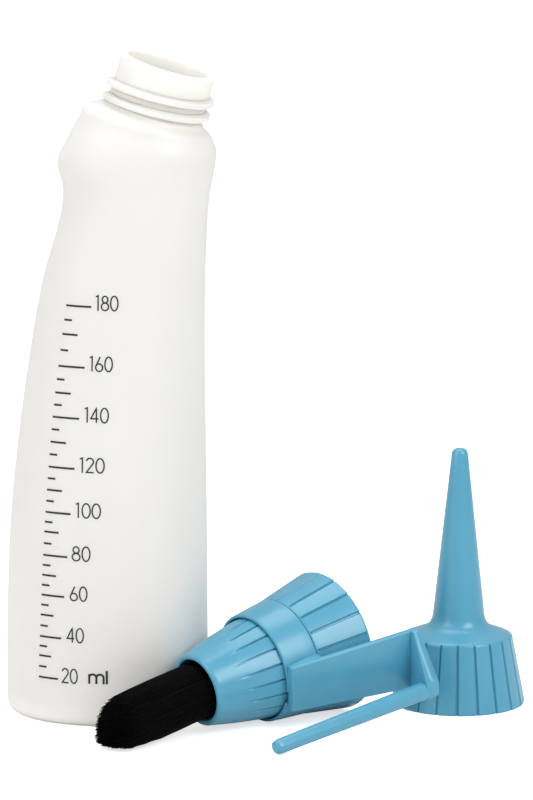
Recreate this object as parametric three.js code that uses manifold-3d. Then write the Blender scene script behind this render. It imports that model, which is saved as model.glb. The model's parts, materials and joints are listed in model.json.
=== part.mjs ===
// Applicator bottle set, laid out beside each other: a bent squeeze bottle, a nozzle cap that
// stands on its rim, and a brush cap that lies down with a swivelling parting arm round it.
// Millimetres, +Z up. X runs along the set from the bottle to the nozzle cap, and Y runs back.
// The origin is the middle of the set's footprint, on the surface that everything stands on.

import * as THREE from 'three';
import { mergeVertices } from 'three/addons/utils/BufferGeometryUtils.js';
import Module from 'manifold-3d';

const wasm = await Module();
wasm.setup();

// Neck finish, which both caps are cut for
const NECK_D = 24.6;               // outside of the plain neck wall
const NECK_THREAD_D = 27.8;        // over the thread
const NECK_LENGTH = 12.8;          // neck root to rim, along the neck
const NECK_LEAN = 17.2;            // degrees from upright, toward +X
const NECK_BORE_D = 21.2;          // mouth
const NECK_CHAMFER = 0.4;          // on the rim's outer edge

// Bottle body, a loft through leaning oval sections
const BOTTLE_WIDTH = 52.5;         // across the foot
const BOTTLE_DEPTH = 46.0;         // front to back at the foot
const BOTTLE_WALL = 1.1;           // blow-moulded wall
const BOTTLE_FLOOR = 1.6;          // floor above the push-up
const FOOT_ROUND = 2.8;            // rounding between the wall and the standing ring
const STANDING_RING = 3.0;         // width of the flat that the bottle stands on
const PUSH_UP = 1.5;               // height of the hollow under the floor
const BELLY_LEVEL = 60.0;
const BELLY_WIDTH = 50.2;
const BELLY_DEPTH = 43.4;
const BELLY_SHIFT = 0.97;          // how far each section's middle has moved toward +X
const GRIP_LEVEL = 111.7;
const GRIP_WIDTH = 42.2;
const GRIP_DEPTH = 36.8;
const GRIP_SHIFT = 4.86;
const WAIST_LEVEL = 135.6;
const WAIST_WIDTH = 37.4;
const WAIST_DEPTH = 34.0;
const WAIST_SHIFT = 8.51;
const WAIST_LEAN = 2.4;            // degrees, falling toward +X
const BULGE_LEVEL = 142.6;
const BULGE_WIDTH = 40.1;
const BULGE_DEPTH = 34.4;
const BULGE_SHIFT = 8.35;
const BULGE_LEAN = 4.2;
const SHOULDER_LEVEL = 148.6;
const SHOULDER_WIDTH = 37.8;
const SHOULDER_DEPTH = 33.0;
const SHOULDER_SHIFT = 10.28;
const SHOULDER_LEAN = 6.9;
const CROWN_LEVEL = 152.1;
const CROWN_WIDTH = 35.1;
const CROWN_DEPTH = 30.6;
const CROWN_SHIFT = 11.32;
const CROWN_LEAN = 11.9;
const BROW_LEVEL = 154.7;
const BROW_WIDTH = 32.3;
const BROW_DEPTH = 29.4;
const BROW_SHIFT = 11.9;
const BROW_LEAN = 14.9;
const NECK_ROOT_LEVEL = 156.5;
const NECK_ROOT_SHIFT = 13.39;
const BODY_SQUARENESS = 2.15;      // exponent of the oval: 2 is an ellipse, more is squarer
const BOTTLE_TURN = 14.0;          // degrees that the bottle's bend is turned to the front

// Caps: what both screw caps share
const RIB_COUNT = 20;              // panels round each grip
const RIB_CUT = 0.55;              // depth of the step between two panels
const RIB_STEP_SHARE = 0.1;        // part of a panel that the step's slope takes
const THREAD_CLEARANCE = 0.35;     // between the neck's thread and a cap's socket
const CAP_SOCKET_DEPTH = 14.2;     // open end to the land that the neck's rim seals on
const SOCKET_MOUTH_FLARE = 1.5;    // how much wider the socket's lead-in is, on radius
const SOCKET_LEAD_IN = 2.4;        // length of that lead-in
const EDGE_ROUND = 0.5;            // broken edges of the moulded caps

// Nozzle cap
const NOZZLE_SKIRT_D = 35.0;       // at the rim
const NOZZLE_SKIRT_TOP_D = 28.6;   // under the rounded top edge
const NOZZLE_SKIRT_HEIGHT = 18.2;
const NOZZLE_DOME_RISE = 1.3;      // skirt's top edge to the foot of the spout's fillet
const SPOUT_FOOT_D = 13.5;
const SPOUT_FILLET = 4.2;          // height of the sweep from the dome into the spout
const SPOUT_TIP_D = 4.3;
const NOZZLE_HEIGHT = 67.6;
const SPOUT_WALL = 1.5;
const SPOUT_HOLE_D = 1.4;          // outlet at the tip
const NOZZLE_REACH = 92.0;         // bottle's middle to the nozzle cap's, along X
const NOZZLE_BACK = 7.0;           // and toward the back

// Brush cap, along its own axis from the open end to the brush
const BRUSH_SKIRT_D = 37.0;        // at the open end
const BRUSH_SKIRT_LENGTH = 15.4;   // open end to the shoulder that stops the collar
const BRUSH_SHOULDER_D = 31.1;     // at that shoulder
const SEAT_D = 27.6;               // collar's seat, next to the shoulder
const SEAT_FRONT_D = 26.6;         // collar's seat, at the collar's front edge
const BRUSH_CAP_LENGTH = 43.9;     // open end to the mouth that holds the bristles
const BRUSH_CONE_LIP_D = 19.4;     // behind the rounded lip
const BRUSH_LIP_ROUND = 1.1;
const BRISTLE_BORE_D = 16.2;
const BRISTLE_BORE_LENGTH = 12.2;  // from the mouth down to the plug's ledge
const FEED_D = 12.0;               // passage through the ledge
const LEDGE = 1.4;
const CONE_WALL = 1.6;
const BRUSH_CAP_REACH = 57.8;      // bottle's middle to the cap's open end, along X
const BRUSH_CAP_FRONT = 0.9;       // and toward the front
const BRUSH_HEADING = 37.8;        // degrees between the cap's axis and -X, toward the front
const BRUSH_DROP = 9.6;            // degrees that the cap's axis falls toward the brush

// Bristles and the plug that they stand in
const FIT_GAP = 0.3;               // running clearance between pieces that seat on each other
const PLUG_THICKNESS = 3.0;
const PLUG_HOLE_D = 3.2;           // feed hole in the middle
const BRISTLE_ROOT_D = 14.6;
const BRISTLE_EDGE_D = 15.3;       // splayed edge where the rounded trim begins
const BRISTLE_REACH = 22.8;        // mouth to that edge
const BRISTLE_DOME = 6.8;          // edge to the tip
const TABLE_CLEARANCE = 0.15;      // under what is pressed or lies on the surface

// Parting arm: collar, flat plate, end wall and rod in one moulding
const COLLAR_BACK_D = 31.0;
const COLLAR_FRONT_D = 28.8;
const COLLAR_LENGTH = 9.55;
const COLLAR_NOTCH_WIDTH = 3.4;
const COLLAR_NOTCH_DEPTH = 0.9;
const COLLAR_NOTCH_SIDE = -3.0;    // across the plate, from its middle
const ARM_ANGLE = -100.5;          // degrees round the cap's axis, from its upper side
const PLATE_ROOT_REACH = 16.1;     // axis to the plate's outer face, at the collar's front
const PLATE_RISE = 13.2;           // degrees that the plate spreads from the axis
const PLATE_THICKNESS = 1.6;
const PLATE_ROOT_UPPER = 6.2;      // half widths, from the plate's middle line
const PLATE_ROOT_LOWER = 6.3;
const PLATE_END_UPPER = 9.1;
const PLATE_END_LOWER = 7.7;
const PLATE_OVERHANG = 9.7;        // plate's end past the cap's open end
const ROD_STANDOFF = 6.9;          // plate's outer face to the rod's centre line, at the bend
const ROD_SIDE = -4.7;             // rod's centre line, across the plate
const ROD_LENGTH = 51.6;
const ROD_BEND_WIDTH = 4.5;        // across the rod's flats
const ROD_TIP_WIDTH = 3.7;
const ROD_SPREAD = 0.8;            // degrees that the rod leans out from the cap's axis
const ROD_SKEW = 1.4;              // degrees that the rod leans across the plate
const END_WALL_THICKNESS = 1.8;
const END_WALL_ROUND = 2.2;        // outer corner at the rod's bend

const deg = THREE.MathUtils.degToRad;

const blue = (name) => new THREE.MeshStandardMaterial({ name, color: '#5aa9cd', roughness: 0.38,
  metalness: 0 });
const frosted = new THREE.MeshStandardMaterial({ name: 'frosted', color: '#f1f0ec',
  roughness: 0.5, metalness: 0, transparent: true, opacity: 0.85 });
const bristleBlack = new THREE.MeshStandardMaterial({ name: 'bristle', color: '#0b0a0b',
  roughness: 0.85, metalness: 0 });

// Closed geometry to solid and back

function toSolid(geometry) {
  const g = geometry.clone();
  g.deleteAttribute('normal');
  g.deleteAttribute('uv');
  const merged = mergeVertices(g, 1e-4);
  return new wasm.Manifold(new wasm.Mesh({
    numProp: 3,
    vertProperties: new Float32Array(merged.attributes.position.array),
    triVerts: new Uint32Array(merged.index.array),
  }));
}

function toMesh(name, solid, material) {
  const m = solid.getMesh();
  const geometry = new THREE.BufferGeometry();
  geometry.setAttribute('position', new THREE.BufferAttribute(m.vertProperties, 3));
  geometry.setIndex(new THREE.BufferAttribute(m.triVerts, 1));
  geometry.computeVertexNormals();
  const mesh = new THREE.Mesh(geometry, material);
  mesh.name = name;
  return mesh;
}

// A closed skin through rings of equal point count, the first and last closed by a fan
function skin(rings) {
  const count = rings[0].length;
  const points = rings.flat();
  const index = [];
  for (let r = 0; r + 1 < rings.length; r += 1) {
    for (let i = 0; i < count; i += 1) {
      const j = (i + 1) % count;
      const a = r * count + i;
      const b = r * count + j;
      const c = (r + 1) * count + i;
      const d = (r + 1) * count + j;
      index.push(a, b, d, a, d, c);
    }
  }
  const middle = (ring) => ring.reduce((sum, p) => sum.add(p), new THREE.Vector3())
    .divideScalar(ring.length);
  const low = points.push(middle(rings[0])) - 1;
  const high = points.push(middle(rings[rings.length - 1])) - 1;
  const last = (rings.length - 1) * count;
  for (let i = 0; i < count; i += 1) {
    const j = (i + 1) % count;
    index.push(low, j, i);
    index.push(high, last + i, last + j);
  }
  const geometry = new THREE.BufferGeometry().setFromPoints(points);
  geometry.setIndex(index);
  return toSolid(geometry);
}

// A solid of revolution about Z from [radius, level] pairs that start and end on the axis
function revolve(profile, segments = 48) {
  const lathe = new THREE.LatheGeometry(profile.map(([r, z]) => new THREE.Vector2(r, z)), segments);
  lathe.rotateX(Math.PI / 2);
  return toSolid(lathe);
}

// Bottle

// One oval section of the body: its middle, half sizes, lean and squareness
function oval({ x, z, halfWidth, halfDepth, lean, power }, count = 56) {
  const ring = [];
  for (let i = 0; i < count; i += 1) {
    const t = (i / count) * Math.PI * 2;
    const c = Math.cos(t);
    const s = Math.sin(t);
    const across = halfWidth * Math.sign(c) * Math.abs(c) ** (2 / power);
    const back = halfDepth * Math.sign(s) * Math.abs(s) ** (2 / power);
    ring.push(new THREE.Vector3(x + across * Math.cos(deg(lean)), back,
      z - across * Math.sin(deg(lean))));
  }
  return ring;
}

const neckAxis = new THREE.Vector3(Math.sin(deg(NECK_LEAN)), 0, Math.cos(deg(NECK_LEAN)));
const neckRoot = new THREE.Vector3(NECK_ROOT_SHIFT, 0, NECK_ROOT_LEVEL);

// Level, shift, width, depth, lean and squareness of each body station, foot to neck root
const stations = [
  [0, 0, BOTTLE_WIDTH, BOTTLE_DEPTH, 0, BODY_SQUARENESS],
  [BELLY_LEVEL / 2, 0.1, BOTTLE_WIDTH - 0.3, BOTTLE_DEPTH - 0.6, 0, BODY_SQUARENESS],
  [BELLY_LEVEL, BELLY_SHIFT, BELLY_WIDTH, BELLY_DEPTH, 0, BODY_SQUARENESS],
  [GRIP_LEVEL, GRIP_SHIFT, GRIP_WIDTH, GRIP_DEPTH, 0, BODY_SQUARENESS],
  [WAIST_LEVEL, WAIST_SHIFT, WAIST_WIDTH, WAIST_DEPTH, WAIST_LEAN, BODY_SQUARENESS],
  [BULGE_LEVEL, BULGE_SHIFT, BULGE_WIDTH, BULGE_DEPTH, BULGE_LEAN, BODY_SQUARENESS],
  [SHOULDER_LEVEL, SHOULDER_SHIFT, SHOULDER_WIDTH, SHOULDER_DEPTH, SHOULDER_LEAN, 2.2],
  [CROWN_LEVEL, CROWN_SHIFT, CROWN_WIDTH, CROWN_DEPTH, CROWN_LEAN, 2.1],
  [BROW_LEVEL, BROW_SHIFT, BROW_WIDTH, BROW_DEPTH, BROW_LEAN, 2.05],
  [NECK_ROOT_LEVEL, NECK_ROOT_SHIFT, NECK_D, NECK_D, NECK_LEAN, 2],
];
const stationCurve = new THREE.CubicInterpolant(
  stations.map((row) => row[0]), stations.flatMap((row) => row.slice(1)), 5,
  new Float64Array(5));

// The body's section at a level, drawn in by an inset from the outer skin
function bodySection(level, inset = 0, drop = 0) {
  const [x, width, depth, lean, power] = stationCurve.evaluate(level);
  return oval({ x, z: level - drop, halfWidth: width / 2 - inset, halfDepth: depth / 2 - inset,
    lean, power });
}

function neckRing(radius, along) {
  const centre = neckRoot.clone().addScaledVector(neckAxis, along);
  return oval({ x: centre.x, z: centre.z, halfWidth: radius, halfDepth: radius,
    lean: NECK_LEAN, power: 2 });
}

function makeBottle() {
  const belly = [0.25, 0.5, 0.75, 1].map((k) => k * BELLY_LEVEL);
  const grip = [1 / 3, 2 / 3, 1].map((k) => THREE.MathUtils.lerp(BELLY_LEVEL, GRIP_LEVEL, k));
  const waist = [0.4, 0.75, 1].map((k) => THREE.MathUtils.lerp(GRIP_LEVEL, WAIST_LEVEL, k));
  const bulge = [0.5, 1].map((k) => THREE.MathUtils.lerp(WAIST_LEVEL, BULGE_LEVEL, k));
  const shoulder = [0.5, 1].map((k) => THREE.MathUtils.lerp(BULGE_LEVEL, SHOULDER_LEVEL, k));
  const crown = [0.5, 1].map((k) => THREE.MathUtils.lerp(SHOULDER_LEVEL, CROWN_LEVEL, k));
  const brow = [0.5, 1].map((k) => THREE.MathUtils.lerp(CROWN_LEVEL, BROW_LEVEL, k));
  const levels = [...belly, ...grip, ...waist, ...bulge, ...shoulder, ...crown, ...brow];
  const ringOuter = FOOT_ROUND;
  const ringInner = FOOT_ROUND + STANDING_RING;
  const neckRadius = NECK_D / 2;

  const outer = skin([
    bodySection(0, ringInner + 2 * PUSH_UP, -PUSH_UP),
    bodySection(0, ringInner),
    bodySection(0, ringOuter),
    bodySection(0, ringOuter * 0.29, -ringOuter * 0.29),
    bodySection(0, 0, -ringOuter),
    ...levels.map((level) => bodySection(level)),
    neckRing(neckRadius, 0),
    neckRing(neckRadius, NECK_LENGTH - NECK_CHAMFER),
    neckRing(neckRadius - NECK_CHAMFER, NECK_LENGTH),
  ]);

  const floor = PUSH_UP + BOTTLE_FLOOR;
  const bore = NECK_BORE_D / 2;
  const inner = skin([
    bodySection(0, ringInner, -floor),
    bodySection(0, BOTTLE_WALL + FOOT_ROUND * 0.3, -floor - FOOT_ROUND * 0.3),
    bodySection(0, BOTTLE_WALL, -floor - FOOT_ROUND),
    ...levels.map((level) => bodySection(level, BOTTLE_WALL, level > BULGE_LEVEL ? 0.5 : 0)),
    neckRing(bore, -BOTTLE_WALL),
    neckRing(bore, NECK_LENGTH + 1),
  ]);
  return outer.subtract(inner);
}

// Caps

// A stack of rings about Z whose radius drops by each ring's cut at every panel's step
function ribbedStack(rows) {
  const marks = [0, (1 - RIB_STEP_SHARE) / 2, 1 - RIB_STEP_SHARE, 1 - RIB_STEP_SHARE * 0.8];
  const rings = rows.map(([radius, z, cut = 0]) => {
    const ring = [];
    for (let panel = 0; panel < RIB_COUNT; panel += 1) {
      marks.forEach((mark, k) => {
        const t = ((panel + mark) / RIB_COUNT) * Math.PI * 2;
        const r = k === 3 ? radius - cut : radius;
        ring.push(new THREE.Vector3(r * Math.cos(t), r * Math.sin(t), z));
      });
    }
    return ring;
  });
  return skin(rings);
}

const socketRadius = NECK_THREAD_D / 2 + THREAD_CLEARANCE;

function makeNozzleCap() {
  const rim = NOZZLE_SKIRT_D / 2;
  const top = NOZZLE_SKIRT_TOP_D / 2;
  const foot = SPOUT_FOOT_D / 2;
  const tip = SPOUT_TIP_D / 2;
  const domeTop = NOZZLE_SKIRT_HEIGHT + NOZZLE_DOME_RISE;
  const spoutBase = domeTop + SPOUT_FILLET;
  const skirt = ribbedStack([
    [rim - EDGE_ROUND / 2, 0, RIB_CUT],
    [rim, EDGE_ROUND / 2, RIB_CUT],
    [top, NOZZLE_SKIRT_HEIGHT - 2 * EDGE_ROUND, RIB_CUT],
    [top - EDGE_ROUND * 0.6, NOZZLE_SKIRT_HEIGHT - EDGE_ROUND * 0.6, RIB_CUT * 0.6],
    [top - EDGE_ROUND * 2, NOZZLE_SKIRT_HEIGHT, 0],
    [foot + SPOUT_FILLET * 0.6, domeTop, 0],
  ]);
  const spout = revolve([
    [0, NOZZLE_SKIRT_HEIGHT - 1],
    [foot + SPOUT_FILLET * 0.6, NOZZLE_SKIRT_HEIGHT - 1],
    [foot + SPOUT_FILLET * 0.6, domeTop],
    [foot + SPOUT_FILLET * 0.3, domeTop + SPOUT_FILLET * 0.12],
    [foot + SPOUT_FILLET * 0.1, domeTop + SPOUT_FILLET * 0.42],
    [foot, spoutBase],
    [tip, NOZZLE_HEIGHT - tip * 0.55],
    [tip * 0.75, NOZZLE_HEIGHT - tip * 0.15],
    [SPOUT_HOLE_D / 2 + 0.2, NOZZLE_HEIGHT],
    [0, NOZZLE_HEIGHT],
  ]);
  const roof = CAP_SOCKET_DEPTH;
  const cavity = revolve([
    [0, -1],
    [socketRadius + SOCKET_MOUTH_FLARE, -1],
    [socketRadius + SOCKET_MOUTH_FLARE, 0],
    [socketRadius, SOCKET_LEAD_IN],
    [Math.min(socketRadius, top - RIB_CUT - 0.8), roof],
    [NECK_BORE_D / 2, roof],
    [foot - SPOUT_WALL, roof + NOZZLE_DOME_RISE + 4],
    [SPOUT_HOLE_D / 2, NOZZLE_HEIGHT - 6],
    [SPOUT_HOLE_D / 2, NOZZLE_HEIGHT + 1],
    [0, NOZZLE_HEIGHT + 1],
  ]);
  return skirt.add(spout).subtract(cavity);
}

function makeBrushCap() {
  const rim = BRUSH_SKIRT_D / 2;
  const shoulder = BRUSH_SHOULDER_D / 2;
  const seat = SEAT_D / 2;
  const seatEnd = BRUSH_SKIRT_LENGTH + FIT_GAP + COLLAR_LENGTH;
  const lip = BRUSH_CONE_LIP_D / 2;
  const lipStart = BRUSH_CAP_LENGTH - BRUSH_LIP_ROUND;
  const coneSpan = lipStart - seatEnd;
  const at = (share) => [THREE.MathUtils.lerp(SEAT_FRONT_D / 2, lip, share), seatEnd
    + coneSpan * share];
  const body = ribbedStack([
    [rim - EDGE_ROUND / 2, 0, RIB_CUT],
    [rim, EDGE_ROUND / 2, RIB_CUT],
    [shoulder + 0.25, BRUSH_SKIRT_LENGTH - 1.3, RIB_CUT],
    [shoulder, BRUSH_SKIRT_LENGTH - EDGE_ROUND, 0],
    [shoulder - EDGE_ROUND / 2, BRUSH_SKIRT_LENGTH, 0],
    [seat, BRUSH_SKIRT_LENGTH + 0.01, 0],
    [SEAT_FRONT_D / 2 + 0.2, seatEnd - 3.5, RIB_CUT * 0.9],
    [...at(0), RIB_CUT * 0.9],
    [...at(0.42), RIB_CUT * 0.8],
    [...at(0.62), 0],
    [...at(1), 0],
    [lip - BRUSH_LIP_ROUND * 0.35, BRUSH_CAP_LENGTH - BRUSH_LIP_ROUND * 0.3, 0],
    [lip - BRUSH_LIP_ROUND, BRUSH_CAP_LENGTH, 0],
  ]);
  const ledge = BRUSH_CAP_LENGTH - BRISTLE_BORE_LENGTH;
  const cavity = revolve([
    [0, -1],
    [socketRadius + SOCKET_MOUTH_FLARE, -1],
    [socketRadius + SOCKET_MOUTH_FLARE, 0],
    [socketRadius, SOCKET_LEAD_IN],
    [socketRadius, CAP_SOCKET_DEPTH],
    [seat - CONE_WALL - RIB_CUT, CAP_SOCKET_DEPTH],
    [SEAT_FRONT_D / 2 - CONE_WALL - RIB_CUT, seatEnd - 2],
    [FEED_D / 2, ledge - LEDGE],
    [FEED_D / 2, ledge],
    [BRISTLE_BORE_D / 2, ledge],
    [BRISTLE_BORE_D / 2, BRUSH_CAP_LENGTH + 1],
    [0, BRUSH_CAP_LENGTH + 1],
  ]);
  return body.subtract(cavity);
}

// The disc in the brush cap's bore that the bristles stand in, with a feed hole
function makeBristlePlug() {
  const radius = BRISTLE_BORE_D / 2 - FIT_GAP;
  const back = BRUSH_CAP_LENGTH - BRISTLE_BORE_LENGTH + FIT_GAP;
  return revolve([
    [0, back], [radius, back], [radius, back + PLUG_THICKNESS], [0, back + PLUG_THICKNESS],
  ]).subtract(revolve([
    [0, back - 1], [PLUG_HOLE_D / 2, back - 1],
    [PLUG_HOLE_D / 2, back + PLUG_THICKNESS + 1], [0, back + PLUG_THICKNESS + 1],
  ], 24));
}

// The lying brush cap's own frame: +Z along its axis to the brush, +X to its upper side
const brushAxis = new THREE.Vector3(-Math.cos(deg(BRUSH_DROP)) * Math.cos(deg(BRUSH_HEADING)),
  -Math.cos(deg(BRUSH_DROP)) * Math.sin(deg(BRUSH_HEADING)), -Math.sin(deg(BRUSH_DROP)));
const brushUpper = new THREE.Vector3(0, 0, 1).addScaledVector(brushAxis, -brushAxis.z).normalize();
const brushSide = new THREE.Vector3().crossVectors(brushAxis, brushUpper);
const brushOpenEnd = new THREE.Vector3(BRUSH_CAP_REACH, -BRUSH_CAP_FRONT,
  (BRUSH_SKIRT_D / 2) * Math.cos(deg(BRUSH_DROP)) + TABLE_CLEARANCE);
const brushFrame = new THREE.Matrix4().makeBasis(brushUpper, brushSide, brushAxis)
  .setPosition(brushOpenEnd);

// Everything on the far side of the surface that the set stands on, in the brush cap's frame
function belowTable(clearance) {
  const block = new THREE.BoxGeometry(200, 200, 60);
  block.translate(0, 0, clearance - 30);
  block.applyMatrix4(brushFrame.clone().invert());
  return toSolid(block);
}

// The bundle of bristles, trimmed to a low dome and pressed flat where it lies on the surface
function makeBristleTuft() {
  const root = BRUSH_CAP_LENGTH - BRISTLE_BORE_LENGTH + 2 * FIT_GAP + PLUG_THICKNESS;
  const edge = BRUSH_CAP_LENGTH + BRISTLE_REACH;
  const r = BRISTLE_EDGE_D / 2;
  const profile = [[0, root], [BRISTLE_ROOT_D / 2, root],
    [BRISTLE_ROOT_D / 2, BRUSH_CAP_LENGTH], [r, edge]];
  for (let i = 1; i <= 5; i += 1) {
    const t = (i / 5) * Math.PI / 2;
    profile.push([i === 5 ? 0 : r * 0.97 * Math.cos(t), edge + 0.4 + (BRISTLE_DOME - 0.4)
      * Math.sin(t)]);
  }
  return revolve(profile, 40).subtract(belowTable(TABLE_CLEARANCE));
}

// Parting arm

// A prism between two outlines of equal point count, each a list of vectors
function prism(lower, upper) {
  return skin([lower, upper]);
}

function makePartingArm() {
  const collarBack = BRUSH_SKIRT_LENGTH + FIT_GAP;
  const collarFront = collarBack + COLLAR_LENGTH;
  const ring = revolve([
    [0, collarBack],
    [COLLAR_BACK_D / 2 - 0.2, collarBack],
    [COLLAR_BACK_D / 2, collarBack + 0.3],
    [COLLAR_FRONT_D / 2, collarFront - 0.3],
    [COLLAR_FRONT_D / 2 - 0.2, collarFront],
    [0, collarFront],
  ], 64);

  // Plate: across() runs over its width, and out() stands off its outer face
  const rise = Math.tan(deg(PLATE_RISE));
  const plateEnd = -PLATE_OVERHANG;
  const face = (z) => PLATE_ROOT_REACH + (collarFront - z) * rise;
  const inner = (z) => face(z) - PLATE_THICKNESS / Math.cos(deg(PLATE_RISE));
  const half = (z, root, end) => THREE.MathUtils.mapLinear(z, collarFront, plateEnd, root, end);
  const upper = (z) => half(z, PLATE_ROOT_UPPER, PLATE_END_UPPER);
  const lower = (z) => -half(z, PLATE_ROOT_LOWER, PLATE_END_LOWER);
  const slab = (z, low) => [
    new THREE.Vector3(low, lower(z), z), new THREE.Vector3(face(z), lower(z), z),
    new THREE.Vector3(face(z), upper(z), z), new THREE.Vector3(low, upper(z), z),
  ];
  const plate = prism(slab(plateEnd, inner(plateEnd)), slab(collarFront, inner(collarFront)));
  // Where the plate grows out of the collar it is solid down to the ring
  const rootLow = COLLAR_FRONT_D / 2 - 3;
  const root = prism(slab(collarBack, rootLow), slab(collarFront, rootLow));

  // End wall: a web from the whole plate down to the rod
  const bend = new THREE.Vector3(face(plateEnd) + ROD_STANDOFF, ROD_SIDE, plateEnd
    + ROD_BEND_WIDTH / 2);
  const r = ROD_BEND_WIDTH / 2;
  const web = (z) => [
    new THREE.Vector3(inner(plateEnd), lower(plateEnd), z),
    new THREE.Vector3(face(plateEnd) + 0.4, lower(plateEnd), z),
    new THREE.Vector3(bend.x - r * 0.4, ROD_SIDE - r, z),
    new THREE.Vector3(bend.x + r * 0.6, ROD_SIDE - r, z),
    new THREE.Vector3(bend.x + r, ROD_SIDE - r * 0.4, z),
    new THREE.Vector3(bend.x + r, ROD_SIDE + r * 0.4, z),
    new THREE.Vector3(bend.x + r * 0.5, ROD_SIDE + r * 1.5, z),
    new THREE.Vector3(face(plateEnd) + 0.8, upper(plateEnd), z),
    new THREE.Vector3(inner(plateEnd), upper(plateEnd), z),
  ];
  const wall = prism(web(plateEnd), web(plateEnd + END_WALL_THICKNESS));

  // Rod: eight flats, tapering to a rounded tip
  const along = new THREE.Vector3(Math.sin(deg(ROD_SPREAD)), Math.sin(deg(ROD_SKEW)), 1).normalize();
  const sideways = new THREE.Vector3(0, 1, 0).addScaledVector(along, -along.y).normalize();
  const outward = new THREE.Vector3().crossVectors(sideways, along);
  const rodRing = (distance, width) => {
    const centre = bend.clone().addScaledVector(along, distance);
    const radius = width / 2 / Math.cos(Math.PI / 8);
    return Array.from({ length: 8 }, (_, i) => {
      const t = ((i + 0.5) / 8) * Math.PI * 2;
      return centre.clone().addScaledVector(outward, radius * Math.cos(t))
        .addScaledVector(sideways, radius * Math.sin(t));
    });
  };
  const rod = skin([
    rodRing(-ROD_BEND_WIDTH / 2, ROD_BEND_WIDTH * 0.7),
    rodRing(-ROD_BEND_WIDTH / 2 + END_WALL_ROUND * 0.3, ROD_BEND_WIDTH * 0.9),
    rodRing(-ROD_BEND_WIDTH / 2 + END_WALL_ROUND, ROD_BEND_WIDTH),
    rodRing(ROD_LENGTH - ROD_TIP_WIDTH * 0.45, ROD_TIP_WIDTH),
    rodRing(ROD_LENGTH - ROD_TIP_WIDTH * 0.12, ROD_TIP_WIDTH * 0.82),
    rodRing(ROD_LENGTH, ROD_TIP_WIDTH * 0.45),
  ]);

  const bore = revolve([
    [0, collarBack - 1],
    [SEAT_D / 2 + FIT_GAP + (SEAT_D - SEAT_FRONT_D) / 2 / COLLAR_LENGTH, collarBack - 1],
    [SEAT_FRONT_D / 2 + FIT_GAP, collarFront],
    [SEAT_FRONT_D / 2 + FIT_GAP, collarFront + 1],
    [0, collarFront + 1],
  ], 64);
  const notch = new THREE.BoxGeometry(8, COLLAR_NOTCH_WIDTH, COLLAR_NOTCH_DEPTH * 2);
  notch.translate(COLLAR_FRONT_D / 2, COLLAR_NOTCH_SIDE, collarFront);
  return ring.add(root).subtract(bore).add(plate).add(wall).add(rod).subtract(toSolid(notch));
}

// The laid-out set
const set = new THREE.Group();

const bottle = toMesh('bottle', makeBottle(), frosted);
bottle.rotation.z = -deg(BOTTLE_TURN);
set.add(bottle);

const nozzleCap = toMesh('nozzle_cap', makeNozzleCap(), blue('nozzle_cap'));
nozzleCap.position.set(NOZZLE_REACH, NOZZLE_BACK, 0);
nozzleCap.rotation.z = -Math.PI / 2 - deg(2);
set.add(nozzleCap);

const lyingCap = new THREE.Group();
lyingCap.applyMatrix4(brushFrame);
lyingCap.add(toMesh('brush_cap', makeBrushCap(), blue('brush_cap')));
lyingCap.add(toMesh('bristle_plug', makeBristlePlug(), blue('bristle_plug')));
lyingCap.add(toMesh('bristle_tuft', makeBristleTuft(), bristleBlack));

const arm = toMesh('parting_arm', makePartingArm(), blue('parting_arm'));
arm.rotation.z = deg(ARM_ANGLE);
lyingCap.add(arm);
set.add(lyingCap);

// The origin goes to the middle of the whole set's footprint
set.updateMatrixWorld(true);
const footprint = new THREE.Box3().setFromObject(set, true).getCenter(new THREE.Vector3());
set.position.set(-footprint.x, -footprint.y, 0);
set.updateMatrixWorld(true);

export default set;
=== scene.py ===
"""Looks of an applicator bottle set: a bent frosted bottle with a printed millilitre scale, a tall
nozzle cap, and a brush cap whose collar carries a swivelling parting arm.

The CAD frame is loaded first, and every piece is made in its frame, in metres. Sizes in the tables
below are in millimetres, as on a drawing."""

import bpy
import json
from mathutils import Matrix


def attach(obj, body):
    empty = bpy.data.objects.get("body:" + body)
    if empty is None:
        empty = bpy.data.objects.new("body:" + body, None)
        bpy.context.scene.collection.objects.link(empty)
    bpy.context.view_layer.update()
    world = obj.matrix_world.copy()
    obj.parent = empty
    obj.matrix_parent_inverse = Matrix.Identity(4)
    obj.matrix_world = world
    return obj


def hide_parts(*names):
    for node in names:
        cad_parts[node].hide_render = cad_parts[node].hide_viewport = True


bl_info = {
    "name": "Applicator Bottle Set",
    "version": (1, 0, 0),
    "blender": (4, 5, 0),
    "location": "View3D > Sidebar > Applicator",
    "description": "Builds the looks of an applicator bottle set round its CAD frame",
    "category": "Object",
}

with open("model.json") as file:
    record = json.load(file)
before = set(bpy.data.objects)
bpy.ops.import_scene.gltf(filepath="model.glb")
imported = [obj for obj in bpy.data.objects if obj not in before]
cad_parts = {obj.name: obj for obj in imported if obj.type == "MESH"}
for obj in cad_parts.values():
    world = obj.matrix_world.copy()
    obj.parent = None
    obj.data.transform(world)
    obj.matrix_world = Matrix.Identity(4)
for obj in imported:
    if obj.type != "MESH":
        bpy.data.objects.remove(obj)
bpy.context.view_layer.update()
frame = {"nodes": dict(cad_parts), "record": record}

import json
import math
from random import Random

import bmesh
import bpy
from bpy.props import FloatProperty, FloatVectorProperty, IntProperty, PointerProperty
from mathutils import Matrix, Vector
from mathutils.bvhtree import BVHTree

MM = 0.001
TURN = 2 * math.pi

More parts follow.
